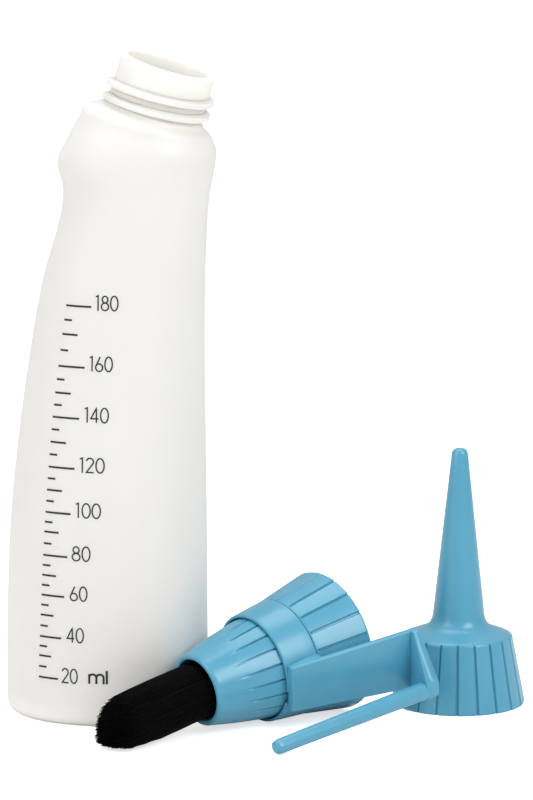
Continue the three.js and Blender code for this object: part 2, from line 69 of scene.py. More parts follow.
# Where the CAD puts each separate item
BOTTLE_FOOT = Vector((-0.041619, 0.013724, 0.0))
BOTTLE_TURN = math.radians(14.0)
BOTTLE_FRAME = Matrix.Translation(BOTTLE_FOOT) @ Matrix.Rotation(-BOTTLE_TURN, 4, "Z")
NOZZLE_FRAME = (Matrix.Translation(BOTTLE_FOOT + Vector((0.092, 0.007, 0.0)))
                @ Matrix.Rotation(math.radians(-92.0), 4, "Z"))
SWIVEL = frame["record"]["behaviour"]["joints"][0]


def lying_frame():
    """The lying brush cap's own frame: +Z along its axis to the brush, +X to its upper side."""
    axis = Vector(SWIVEL["axis"]).normalized()
    upper = (Vector((0, 0, 1)) - axis * axis.z).normalized()
    side = axis.cross(upper)
    turn = Matrix((upper, side, axis)).transposed().to_4x4()
    return Matrix.Translation(Vector(SWIVEL["pos_m"])) @ turn


LYING_FRAME = lying_frame()
ARM_FRAME = LYING_FRAME @ Matrix.Rotation(math.radians(-100.5), 4, "Z")

# Bottle body: level, shift, width, depth, lean in degrees, squareness
STATIONS = (
    (0.0, 0.0, 52.5, 46.0, 0.0, 2.15),
    (30.0, 0.1, 52.2, 45.4, 0.0, 2.15),
    (60.0, 0.97, 50.2, 43.4, 0.0, 2.15),
    (111.7, 4.86, 42.2, 36.8, 0.0, 2.15),
    (135.6, 8.51, 37.4, 34.0, 2.4, 2.15),
    (142.6, 8.35, 40.1, 34.4, 4.2, 2.15),
    (148.6, 10.28, 37.8, 33.0, 6.9, 2.2),
    (152.1, 11.32, 35.1, 30.6, 11.9, 2.1),
    (154.7, 11.9, 32.3, 29.4, 14.9, 2.05),
    (156.5, 13.39, 24.6, 24.6, 17.2, 2.0),
)
NECK_LEAN = math.radians(17.2)
NECK_ROOT = Vector((13.39, 0.0, 156.5))
NECK_AXIS = Vector((math.sin(NECK_LEAN), 0.0, math.cos(NECK_LEAN)))

# Printed scale: millilitres, height on the bottle, left end and length of the line
LONG_LINES = (
    (20, 12.32, -12.35, 5.64), (40, 23.04, -11.94, 6.13), (60, 33.9, -11.43, 6.51),
    (80, 44.28, -10.96, 6.9), (100, 55.43, -10.37, 7.16), (120, 67.1, -9.61, 7.37),
    (140, 79.93, -8.63, 7.52), (160, 92.97, -7.25, 7.39), (180, 108.43, -5.38, 7.13),
)
MIDDLE_LINES = (
    (30, 17.97, -12.21, 3.54), (50, 28.69, -11.73, 3.78), (70, 39.08, -11.28, 4.05),
    (90, 50.35, -10.68, 4.18), (110, 61.17, -10.01, 4.34), (130, 73.51, -9.16, 4.48),
    (150, 86.16, -8.04, 4.51), (170, 101.12, -6.31, 4.41),
)
SHORT_LINE = 2.25
NUMERAL_LEFT = {20: -5.65, 40: -4.2, 60: -3.34, 80: -2.79, 100: -1.9, 120: -0.9, 140: 0.3,
                160: 1.45, 180: 2.85}
NUMERAL_SPREAD = {20: 1.04, 40: 1.08, 60: 1.1, 80: 1.16, 100: 1.2, 120: 1.18, 140: 1.12,
                  160: 1.07, 180: 1.05}


def arc(cx, cy, rx, ry, start, end, count=14):
    """Points on an ellipse's arc, angles in degrees."""
    return [(cx + rx * math.cos(math.radians(start + (end - start) * i / count)),
             cy + ry * math.sin(math.radians(start + (end - start) * i / count)))
            for i in range(count + 1)]


# Strokes of each numeral and letter in a cell one unit high: width, lists of points
GLYPHS = {
    "0": (0.50, [arc(0.25, 0.5, 0.23, 0.48, 90, 450, 26)]),
    "1": (0.30, [[(0.02, 0.9), (0.17, 0.98), (0.17, 0.0)]]),
    "2": (0.50, [arc(0.24, 0.74, 0.2, 0.24, 170, -30, 12) + [(0.03, 0.03), (0.46, 0.03)]]),
    "4": (0.52, [[(0.36, 0.0), (0.36, 0.98), (0.02, 0.27), (0.48, 0.27)]]),
    "6": (0.52, [arc(0.25, 0.27, 0.22, 0.25, 90, 450, 22), [(0.055, 0.38), (0.31, 0.98)]]),
    "8": (0.52, [arc(0.25, 0.27, 0.23, 0.25, 90, 450, 22),
                 arc(0.25, 0.74, 0.18, 0.22, -90, 270, 20)]),
    "m": (1.22, [[(0.06, 0.0), (0.06, 0.7)],
                 [(0.06, 0.44)] + arc(0.32, 0.46, 0.26, 0.23, 180, 0, 10) + [(0.58, 0.0)],
                 [(0.58, 0.44)] + arc(0.84, 0.46, 0.26, 0.23, 180, 0, 10) + [(1.1, 0.0)]]),
    "l": (0.2, [[(0.08, 0.0), (0.08, 0.98)]]),
}


# Settings that a user would change

class BottleSettings(bpy.types.PropertyGroup):
    """Sizes and colour of the bottle and its printed scale."""

    wall: FloatProperty(name="Wall", description="Thickness of the blow-moulded wall",
                        default=0.0011, min=0.0004, max=0.002, unit="LENGTH", subtype="DISTANCE")
    thread_diameter: FloatProperty(name="Thread diameter", description="Over the neck's thread",
                                   default=0.0278, min=0.026, max=0.0279, unit="LENGTH",
                                   subtype="DISTANCE")
    thread_pitch: FloatProperty(name="Thread pitch", description="Rise of the thread in one turn",
                                default=0.0037, min=0.002, max=0.006, unit="LENGTH",
                                subtype="DISTANCE")
    frost: FloatProperty(name="Frost", description="Roughness of the frosted plastic",
                         default=0.46, min=0.2, max=0.9, subtype="FACTOR")
    colour: FloatVectorProperty(name="Plastic", description="Colour of the undyed plastic",
                                default=(0.872, 0.850, 0.803), size=3, min=0.0, max=1.0,
                                subtype="COLOR")
    line_width: FloatProperty(name="Line width", description="Width of the scale's printed lines",
                              default=0.000515, min=0.0002, max=0.001, unit="LENGTH",
                              subtype="DISTANCE")
    numeral_height: FloatProperty(name="Numeral height", description="Height of the numerals",
                                  default=0.00385, min=0.002, max=0.006, unit="LENGTH",
                                  subtype="DISTANCE")
    ink: FloatVectorProperty(name="Ink", description="Colour of the printed scale",
                             default=(0.011, 0.011, 0.012), size=3, min=0.0, max=1.0,
                             subtype="COLOR")


class CapSettings(bpy.types.PropertyGroup):
    """Sizes and colour of the two caps and the arm."""

    colour: FloatVectorProperty(name="Caps", description="Colour of the dyed plastic",
                                default=(0.075, 0.328, 0.478), size=3, min=0.0, max=1.0,
                                subtype="COLOR")
    satin: FloatProperty(name="Satin", description="Roughness of the moulded surface",
                         default=0.31, min=0.1, max=0.9, subtype="FACTOR")
    panels: IntProperty(name="Grip panels", description="Panels round each grip", default=20,
                        min=8, max=40)
    groove: FloatProperty(name="Groove", description="Depth of the groove between two panels",
                          default=0.00062, min=0.0001, max=0.001, unit="LENGTH",
                          subtype="DISTANCE")
    edge: FloatProperty(name="Broken edges", description="Rounding of the arm's edges",
                        default=0.00038, min=0.0001, max=0.0006, unit="LENGTH",
                        subtype="DISTANCE")


class BristleSettings(bpy.types.PropertyGroup):
    """The brush cap's bristles."""

    count: IntProperty(name="Bristles", description="How many bristles stand in the cap",
                       default=2600, min=200, max=4000)
    thickness: FloatProperty(name="Thickness", description="Diameter of one bristle",
                             default=0.00026, min=0.0001, max=0.0005, unit="LENGTH",
                             subtype="DISTANCE")
    colour: FloatVectorProperty(name="Bristles", description="Colour of the bristles",
                                default=(0.0009, 0.0007, 0.0008), size=3, min=0.0, max=1.0,
                                subtype="COLOR")


# Materials

def shader(name, colour, roughness):
    """A material with its Principled shader, and the tools to wire it."""
    material = bpy.data.materials.new(name)
    material.use_nodes = True
    nodes, links = material.node_tree.nodes, material.node_tree.links
    principled = nodes["Principled BSDF"]
    principled.inputs["Base Color"].default_value = (*colour, 1.0)
    principled.inputs["Roughness"].default_value = roughness
    return material, nodes, links, principled


def noise(nodes, links, scale, detail=3.0, roughness=0.55, stretch=(1, 1, 1)):
    """Noise on Object coordinates."""
    where = nodes.new("ShaderNodeTexCoord")
    mapping = nodes.new("ShaderNodeMapping")
    mapping.inputs["Scale"].default_value = stretch
    texture = nodes.new("ShaderNodeTexNoise")
    texture.inputs["Scale"].default_value = scale
    texture.inputs["Detail"].default_value = detail
    texture.inputs["Roughness"].default_value = roughness
    links.new(where.outputs["Object"], mapping.inputs["Vector"])
    links.new(mapping.outputs["Vector"], texture.inputs["Vector"])
    return texture.outputs["Fac"]


def ramp(nodes, links, source, stops):
    """A colour ramp whose stops are (place, linear colour)."""
    node = nodes.new("ShaderNodeValToRGB")
    node.color_ramp.elements[0].position, node.color_ramp.elements[0].color = (
        stops[0][0], (*stops[0][1], 1.0))
    node.color_ramp.elements[1].position, node.color_ramp.elements[1].color = (
        stops[-1][0], (*stops[-1][1], 1.0))
    for place, colour in stops[1:-1]:
        node.color_ramp.elements.new(place).color = (*colour, 1.0)
    links.new(source, node.inputs["Fac"])
    return node.outputs["Color"]


def grain(nodes, links, principled, fine, coarse, depth):
    """Moulded skin: a fine grain on a faint swell."""
    add = nodes.new("ShaderNodeMath")
    add.operation = "MULTIPLY_ADD"
    links.new(fine, add.inputs[0])
    add.inputs[1].default_value = 0.35
    links.new(coarse, add.inputs[2])
    bump = nodes.new("ShaderNodeBump")
    bump.inputs["Strength"].default_value = 0.25
    bump.inputs["Distance"].default_value = depth
    links.new(add.outputs[0], bump.inputs["Height"])
    links.new(bump.outputs["Normal"], principled.inputs["Normal"])


def satin_blue(name, settings):
    """Dyed polypropylene with a satin skin, faint flow marks and rubbed high spots."""
    r, g, b = settings.colour
    material, nodes, links, principled = shader(name, settings.colour, settings.satin)
    swell = noise(nodes, links, 55.0, 2.0)
    fine = noise(nodes, links, 2600.0, 2.0)
    flow = noise(nodes, links, 160.0, 4.0, 0.6, (1.0, 1.0, 0.25))
    tint = ramp(nodes, links, flow, (
        (0.25, (r * 0.9, g * 0.955, b * 0.97)),
        (0.5, (r, g, b)),
        (0.8, (r * 1.12, g * 1.04, b * 1.02))))
    links.new(tint, principled.inputs["Base Color"])
    sheen = nodes.new("ShaderNodeMapRange")
    links.new(flow, sheen.inputs["Value"])
    sheen.inputs["To Min"].default_value = settings.satin - 0.06
    sheen.inputs["To Max"].default_value = settings.satin + 0.08
    links.new(sheen.outputs["Result"], principled.inputs["Roughness"])
    principled.inputs["Subsurface Weight"].default_value = 0.12
    principled.inputs["Subsurface Radius"].default_value = (0.5, 0.9, 1.0)
    principled.inputs["Subsurface Scale"].default_value = 0.0012
    principled.inputs["IOR"].default_value = 1.49
    principled.inputs["Coat Weight"].default_value = 0.3
    principled.inputs["Coat Roughness"].default_value = 0.24
    grain(nodes, links, principled, fine, swell, 0.00006)
    return material


def frosted_natural(settings):
    """Undyed blow-moulded plastic: cloudy, translucent and softly frosted."""
    r, g, b = settings.colour
    material, nodes, links, principled = shader("frosted_natural", settings.colour,
                                                settings.frost)
    cloud = noise(nodes, links, 28.0, 3.0, 0.5, (1.0, 1.0, 0.6))
    fine = noise(nodes, links, 1900.0, 2.0)
    tint = ramp(nodes, links, cloud, (
        (0.3, (r * 0.975, g * 0.97, b * 0.96)),
        (0.7, (r, g * 1.005, b * 1.01))))
    links.new(tint, principled.inputs["Base Color"])
    principled.inputs["Subsurface Weight"].default_value = 0.45
    principled.inputs["Subsurface Radius"].default_value = (1.0, 0.97, 0.9)
    principled.inputs["Subsurface Scale"].default_value = 0.006
    principled.inputs["IOR"].default_value = 1.5
    grain(nodes, links, principled, fine, cloud, 0.0001)
    return material


def printed_ink(settings):
    """Flat pad-printed ink that thins a little."""
    r, g, b = settings.ink
    material, nodes, links, principled = shader("printed_ink", settings.ink, 0.55)
    thin = noise(nodes, links, 1400.0, 3.0)
    tint = ramp(nodes, links, thin, ((0.35, (r, g, b)), (0.8, (r * 1.6, g * 1.6, b * 1.65))))
    links.new(tint, principled.inputs["Base Color"])
    return material


def bristle_black(settings):
    """Dull black nylon."""
    r, g, b = settings.colour
    material, nodes, links, principled = shader("bristle_black", settings.colour, 0.5)
    strand = noise(nodes, links, 900.0, 2.0)
    tint = ramp(nodes, links, strand, ((0.3, (r * 0.6, g * 0.6, b * 0.6)),
                                       (0.75, (r * 2.4, g * 2.4, b * 2.5))))
    links.new(tint, principled.inputs["Base Color"])
    principled.inputs["Specular IOR Level"].default_value = 0.06
    return material


# Shared making

def finished(name, bm, place, material, body, sharp=38.0):
    """A smooth-shaded object from a bmesh in millimetres, put in place in its mesh."""
    bmesh.ops.remove_doubles(bm, verts=bm.verts, dist=1e-4)
    bmesh.ops.recalc_face_normals(bm, faces=bm.faces)
    bmesh.ops.scale(bm, vec=(MM, MM, MM), verts=bm.verts)
    bmesh.ops.transform(bm, matrix=place, verts=bm.verts)
    mesh = bpy.data.meshes.new(name)
    bm.to_mesh(mesh)
    bm.free()
    mesh.shade_smooth()
    mesh.set_sharp_from_angle(angle=math.radians(sharp))
    mesh.materials.append(material)
    obj = bpy.data.objects.new(name, mesh)
    bpy.context.scene.collection.objects.link(obj)
    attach(obj, body)
    return obj


def lathe(bm, profile, steps):
    """Spins a profile of (radius, height) pairs about Z, and gives the new vertices."""
    before = set(bm.verts)
    verts = [bm.verts.new((r, 0.0, z)) for r, z in profile]
    edges = [bm.edges.new(pair) for pair in zip(verts, verts[1:])]
    bmesh.ops.spin(bm, geom=verts + edges, cent=(0, 0, 0), axis=(0, 0, 1), dvec=(0, 0, 0),
                   angle=TURN, steps=steps, use_merge=True, use_duplicate=False)
    return [v for v in bm.verts if v not in before]


def flute(verts, panels, depth_at, facet=0.7):
    """Cuts a groove between every two panels, and flattens the panels a little."""
    half = math.pi / panels
    for v in verts:
        r = math.hypot(v.co.x, v.co.y)
        depth = depth_at(r, v.co.z)
        if depth <= 0.0 or r < 1e-6:
            continue
        u = (math.atan2(v.co.y, v.co.x) / TURN * panels) % 1.0
        if u > 0.9995:
            u = 0.0
        share = depth_at(-1.0, 0.0)
        flat = r * (1 - math.cos(half) / math.cos((u - 0.5) * 2 * half)) * facet * depth / share
        edge = 0.0
        if 0.885 < u < 0.999:
            edge = 1.0 if u < 0.95 else 0.6
        drop = flat * 0.6 + depth * edge
        v.co.x *= (r - drop) / r
        v.co.y *= (r - drop) / r


THREAD_FADE = 0.14                 # turns over which a thread's end dies away
THREAD_SINK = 0.35                 # how deep that end goes under the wall


def helix(bm, root, crest, pitch, turns, start, base, embed=0.4, foot=1.25, top=0.55, steps=64,
          inward=False):
    """A screw thread: a trapezoid spun about Z with a rise, fading out at both ends."""
    sign = -1.0 if inward else 1.0
    points = ((root - sign * embed, -foot), (root, -foot), (crest, -top), (crest, top),
              (root, foot), (root - sign * embed, foot))
    before = set(bm.verts)
    verts = [bm.verts.new((r * math.cos(start), r * math.sin(start), base + z))
             for r, z in points]
    face = bm.faces.new(verts)
    count = int(steps * turns)
    bmesh.ops.spin(bm, geom=[face], cent=(0, 0, 0), axis=(0, 0, 1),
                   dvec=(0, 0, pitch * turns / count), angle=TURN * turns, steps=count,
                   use_merge=False, use_duplicate=False)
    for v in bm.verts:
        if v in before:
            continue
        r = math.hypot(v.co.x, v.co.y)
        part = ((math.atan2(v.co.y, v.co.x) - start) / TURN) % 1.0
        run = part + round((v.co.z - base) / pitch - part)
        keep = max(0.0, min(1.0, min(run, turns - run) / THREAD_FADE))
        keep = keep * keep * (3 - 2 * keep)
        if (r - root) * sign > 1e-4:
            wanted = root - sign * THREAD_SINK + (r - root + sign * THREAD_SINK) * keep
            v.co.x *= wanted / r
            v.co.y *= wanted / r


# Bottle

def station(level):
    """Shift, width, depth, lean and squareness of the body at a level."""
    last = len(STATIONS) - 2
    k = next((i for i in range(last + 1) if level <= STATIONS[i + 1][0]), last)
    t0, t1 = STATIONS[k][0], STATIONS[k + 1][0]
    before, after = (k - 1, k + 2)
    t_before = STATIONS[before][0] if k > 0 else 2 * t0 - t1
    row_before = STATIONS[before] if k > 0 else STATIONS[k + 1]
    t_after = STATIONS[after][0] if k < last else 2 * t1 - t0
    row_after = STATIONS[after] if k < last else STATIONS[k]
    half = (t1 - t0) * 0.5
    w0, w1 = half / (t0 - t_before), half / (t_after - t1)
    p = (level - t0) / (t1 - t0)
    p2, p3 = p * p, p * p * p
    s_before = -w0 * p3 + 2 * w0 * p2 - w0 * p
    s0 = (1 + w0) * p3 + (-1.5 - 2 * w0) * p2 + (-0.5 + w0) * p + 1
    s1 = (-1 - w1) * p3 + (1.5 + w1) * p2 + 0.5 * p
    s_after = w1 * p3 - w1 * p2
    return [s_before * a + s0 * b + s1 * c + s_after * d for a, b, c, d in
            zip(row_before[1:], STATIONS[k][1:], STATIONS[k + 1][1:], row_after[1:])]


def oval_point(angle, x, z, half_width, half_depth, lean, power):
    """A point of a leaning oval section."""
    c, s = math.cos(angle), math.sin(angle)
    across = half_width * math.copysign(abs(c) ** (2 / power), c)
    back = half_depth * math.copysign(abs(s) ** (2 / power), s)
    return Vector((x + across * math.cos(lean), back, z - across * math.sin(lean)))


def body_row(level, inset=0.0, lift=0.0, shrink=1.0):
    """A body section as a function of the angle."""
    x, width, depth, lean, power = station(level)
    return lambda a: oval_point(a, x, level + lift, (width / 2 - inset) * shrink,
                                (depth / 2 - inset) * shrink, math.radians(lean), power)


def neck_row(radius, along):
    """A neck section as a function of the angle."""
    centre = NECK_ROOT + NECK_AXIS * along
    return lambda a: oval_point(a, centre.x, centre.z, radius, radius, NECK_LEAN, 2.0)


def loft(bm, rows, steps):
    """Wraps a grid over rows of sections, pole to pole."""
    count = len(rows)
    grid = bmesh.ops.create_grid(bm, x_segments=steps, y_segments=count - 1, size=0.5)["verts"]
    for v in grid:
        angle = (v.co.x + 0.5) * TURN
        row = min(count - 1, round((v.co.y + 0.5) * (count - 1)))
        v.co = rows[row](angle)
    bmesh.ops.remove_doubles(bm, verts=grid, dist=1e-4)


def shell_rows(wall):
    """Sections of the bottle from under the floor, up the outside, and down the inside."""
    foot, ring, rise, floor = 2.8, 3.0, 1.5, 1.6
    rows = [body_row(0, 12, rise, 0.0), body_row(0, foot + ring + 6, rise),
            body_row(0, foot + ring + 2, rise * 0.9), body_row(0, foot + ring + 0.6, rise * 0.25),
            body_row(0, foot + ring)]
    rows += [body_row(0, foot + ring * k) for k in (0.5, 0.0)]
    rows += [body_row(0, foot * (1 - math.sin(t)), foot * (1 - math.cos(t)))
             for t in (math.radians(d) for d in (15, 30, 45, 60, 75, 90))]
    levels = [6 + 4.0 * i for i in range(31)]
    levels += [128, 131, 133.5, 135.6, 137, 138.5, 140, 141.3, 142.6, 144, 145.5, 147, 148.6,
               149.8, 151, 152.1, 153, 153.9, 154.7, 155.2, 155.7]
    rows += [body_row(level) for level in levels]
    neck = 12.3
    rows += [neck_row(neck + 0.7, -0.12), neck_row(neck + 0.25, 0.3), neck_row(neck, 0.9),
             neck_row(neck, 4.0), neck_row(neck, 8.5), neck_row(neck, 12.2),
             neck_row(neck - 0.08, 12.5), neck_row(neck - 0.3, 12.72), neck_row(neck - 0.55, 12.8),
             neck_row(11.0, 12.8), neck_row(10.75, 12.72), neck_row(10.6, 12.5),
             neck_row(10.6, 8.0), neck_row(10.6, 3.0), neck_row(10.6, -1.1)]
    rows += [body_row(level, wall, -0.5 if level > 142.6 else 0.0) for level in reversed(levels)
             if level < 154.0]
    base = rise + floor
    rows += [body_row(0, wall, base + foot), body_row(0, wall + 0.9, base + 0.9),
             body_row(0, foot + ring, base), body_row(0, foot + ring + 8, base),
             body_row(0, 12, base, 0.0)]
    return rows


def frosted_bottle(settings):
    """The bottle's shell with its threaded neck."""
    bm = bmesh.new()
    loft(bm, shell_rows(settings.wall / MM), 128)
    thread = bmesh.new()
    helix(thread, 12.3, settings.thread_diameter / MM / 2, settings.thread_pitch / MM, 1.9,
          math.radians(150), 0.3)
    lean = Matrix.Translation(NECK_ROOT) @ Matrix.Rotation(NECK_LEAN, 4, "Y")
    bmesh.ops.transform(thread, matrix=lean, verts=thread.verts)
    spare = bpy.data.meshes.new("thread")
    thread.to_mesh(spare)
    thread.free()
    bm.from_mesh(spare)
    bpy.data.meshes.remove(spare)
    obj = finished("bottle_shell", bm, BOTTLE_FRAME, frosted_natural(settings), "set",
                   50.0)
    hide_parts("bottle")
    return obj


# Printed scale

def ribbon(bm, points, width):
    """A flat stroke of even width along a line of points, with its corners mitred."""
    def offset(i):
        here = Vector(points[i])
        to_last = (here - Vector(points[i - 1])).normalized() if i else None
        to_next = (Vector(points[i + 1]) - here).normalized() if i + 1 < len(points) else None
        ahead = to_next if to_last is None else to_last if to_next is None else (
            to_last + to_next).normalized()
        side = Vector((-ahead.y, ahead.x))
        stretch = 1.0 if to_last is None or to_next is None else min(
            1.8, 1.0 / max(0.3, ahead.dot(to_next)))
        return here, side * width / 2 * stretch

    here, side = offset(0)
    low = bm.verts.new((*(here - side), 0.0))
    high = bm.verts.new((*(here + side), 0.0))
    edge = bm.edges.new((low, high))
    for i in range(1, len(points)):
        here, side = offset(i)
        step = bmesh.ops.extrude_edge_only(bm, edges=[edge])["geom"]
        edge = next(g for g in step if isinstance(g, bmesh.types.BMEdge))
        ends = {v: None for v in edge.verts}
        old = {low: here - side, high: here + side}
        for link_from, place in old.items():
            new = next(v for v in ends if any(e.other_vert(v) is link_from
                                              for e in v.link_edges))
            new.co = (*place, 0.0)
            if link_from is low:
                next_low = new
            else:
                next_high = new
        low, high = next_low, next_high


def stretch_points(start, end, gap=0.45):
    """Points along a straight printed line, close enough to follow the bottle."""
    count = max(1, int((Vector(end) - Vector(start)).length / gap))
    return [tuple(Vector(start).lerp(Vector(end), i / count)) for i in range(count + 1)]


def write(bm, words, left, base, height, width, track=0.12, spread=1.0):
    """Numerals in even strokes, from their left edge on their base line."""
    for mark in words:
        wide, strokes = GLYPHS[mark]
        for stroke in strokes:
            line = [(left + x * height * spread, base + y * height) for x, y in stroke]
            fine = []
            for a, b in zip(line, line[1:]):
                fine += stretch_points(a, b)[:-1]
            ribbon(bm, fine + [line[-1]], width)
        left += (wide + track * 0.6) * height * spread


def printed_scale(settings, shell):
    """The scale's lines and numerals, laid on the bottle's front."""
    bm = bmesh.new()
    stroke = settings.line_width / MM
    places = {}
    for value, level, left, length in LONG_LINES + MIDDLE_LINES:
        ribbon(bm, stretch_points((left, level), (left + length, level)), stroke)
        places[value] = (level, left)
    values = sorted(places)
    for a, b in zip(values, values[1:]):
        level = (places[a][0] + places[b][0]) / 2
        left = (places[a][1] + places[b][1]) / 2
        ribbon(bm, stretch_points((left, level), (left + SHORT_LINE, level)), stroke)
    tall = settings.numeral_height / MM
    for value, level, left, length in LONG_LINES:
        write(bm, str(value), NUMERAL_LEFT[value], level - 0.85, tall, stroke * 0.74,
              spread=NUMERAL_SPREAD[value])
    write(bm, "ml", 1.55, 11.7, 3.6, stroke * 1.08, track=0.04)

    surface = BVHTree.FromObject(shell, bpy.context.evaluated_depsgraph_get())
    along = BOTTLE_FRAME.to_3x3() @ Vector((0, 1, 0))
    for v in bm.verts:
        start = BOTTLE_FRAME @ Vector((v.co.x * MM, -0.06, v.co.y * MM))
        hit, normal = surface.ray_cast(start, along)[:2]
        if hit is None:
            raise RuntimeError("a printed line misses the bottle")
        v.co = (hit + normal * 0.00004) / MM
    return finished("graduation", bm, Matrix.Identity(4), printed_ink(settings), "set",
                    80.0)


# Caps

def straight(start, end, count, first=0):
    """Evenly spaced points of a straight wall, from number first to the last."""
    (r0, z0), (r1, z1) = start, end
    return [(r0 + (r1 - r0) * k / count, z0 + (z1 - z0) * k / count)
            for k in range(first, count + 1)]


def cap_thread(bm):
    """The thread inside a cap's socket."""
    helix(bm, 14.25, 13.35, 3.7, 1.6, 0.0, 4.6, foot=1.0, top=0.4, inward=True)


def socket_profile(roof, land, inner):
    """Inside of a screw cap, from the roof's inner edge down to the open end's inner edge."""
    return [(inner, roof), (land, roof), (14.05, roof - 0.2), (14.25, roof - 0.5), (14.25, 2.4),
            (15.45, 0.35), (15.75, 0.0)]


def nozzle_profile():
    """The nozzle cap's whole section, from the tip's hole round to the tip's hole."""
    outside = [(0.7, 67.35), (0.95, 67.58), (1.35, 67.5), (1.75, 67.2), (2.02, 66.75),
               (2.15, 66.2)]
    outside += straight((2.15, 66.2), (6.72, 24.2), 8, 1)
    outside += [(6.86, 23.2), (7.08, 22.3), (7.45, 21.45), (8.0, 20.75), (8.75, 20.2),
                (9.6, 19.82), (10.7, 19.4), (12.0, 18.93), (12.9, 18.55), (13.45, 18.35),
                (13.9, 18.12), (14.15, 17.85), (14.28, 17.45)]
    outside += straight((14.3, 17.1), (17.46, 0.75), 9)
    outside += [(17.5, 0.45), (17.42, 0.2), (17.2, 0.03), (16.9, 0.0)]
    socket = socket_profile(14.2, 12.95, 10.6)
    inside = [(15.75, 0.0)] + socket[::-1][1:]
    inside += [(10.6, 14.2), (5.25, 19.5), (4.7, 24.0), (2.6, 45.0), (0.7, 61.6), (0.7, 67.35)]
    return outside + inside


def nozzle_cap(settings):
    """The standing nozzle cap: ribbed skirt, low dome and long tapered spout."""
    depth = settings.groove / MM

    def depth_at(r, z):
        if r < 0:
            return depth
        if r < 13.2 or z > 18.6:
            return 0.0
        if r < 16.3 and z < 13.5 and r < 17.5 - z * 0.193 - 0.9:
            return 0.0
        return depth * max(0.0, min(1.0, (18.3 - z) / 0.8))

    bm = bmesh.new()
    verts = lathe(bm, nozzle_profile(), settings.panels * 18)
    flute(verts, settings.panels, depth_at)
    cap_thread(bm)
    obj = finished("nozzle_cap_fine", bm, NOZZLE_FRAME, satin_blue("nozzle_blue", settings), "set",
                   32.0)
    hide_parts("nozzle_cap")
    return obj


def brush_profile():
    """The brush cap's whole section, a closed line round its wall."""
    outside = [(15.75, 0.0), (17.9, 0.0), (18.2, 0.03), (18.42, 0.2), (18.5, 0.45)]
    outside += straight((18.46, 0.8), (15.86, 13.9), 8)
    outside += [(15.74, 14.4), (15.62, 14.8), (15.56, 15.1), (15.4, 15.33), (15.15, 15.4),
                (13.8, 15.42), (13.62, 20.0), (13.32, 24.6), (13.3, 25.25)]
    outside += [(13.3 + (9.72 - 13.3) * k / 14 + 0.22 * math.sin(math.pi * k / 14),
                 25.25 + (42.6 - 25.25) * k / 14) for k in range(1, 15)]
    outside += [(9.64, 43.1), (9.42, 43.5), (9.1, 43.78), (8.75, 43.9), (8.4, 43.86),
                (8.15, 43.65), (8.1, 43.3), (8.1, 37.0), (8.1, 31.7), (6.0, 31.7), (6.0, 30.3),
                (11.1, 23.2), (11.65, 14.2)]
    return outside + socket_profile(14.2, 12.95, 11.65)[1:]


def brush_cap(settings):
    """The lying brush cap: ribbed skirt, the collar's seat, and the cone with fading grooves."""
    depth = settings.groove / MM

    def depth_at(r, z):
        if r < 0:
            return depth
        if r < 9.0 or r < 18.0 - z * 0.225:
            return 0.0
        if z < 15.42:
            return depth * max(0.0, min(1.0, (15.2 - z) / 0.9))
        if z < 21.0:
            return 0.0
        if z < 26.0:
            return depth * 1.05
        return depth * 1.05 * max(0.0, min(1.0, (36.6 - z) / 7.5)) ** 0.8

    bm = bmesh.new()
    verts = lathe(bm, brush_profile(), settings.panels * 18)
    flute(verts, settings.panels, depth_at)
    cap_thread(bm)
    bmesh.ops.remove_doubles(bm, verts=bm.verts, dist=1e-4)
    obj = finished("brush_cap_fine", bm, LYING_FRAME, satin_blue("brush_blue", settings), "set",
                   32.0)
    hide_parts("brush_cap")
    return obj


# Bristles, along the lying cap's axis

CONE_MOUTH = 43.9
BRISTLE_ROOT = 35.6                # where the bristles come out of the plug's socket
TUFT_TABLE = 0.00095               # metres: how low the pressed bristles lie
TUFT_DROOP = 0.0018                # metres: how far the tip sinks under its own weight
CORE_TABLE = 0.0012                # metres: the same for the core under the bristles


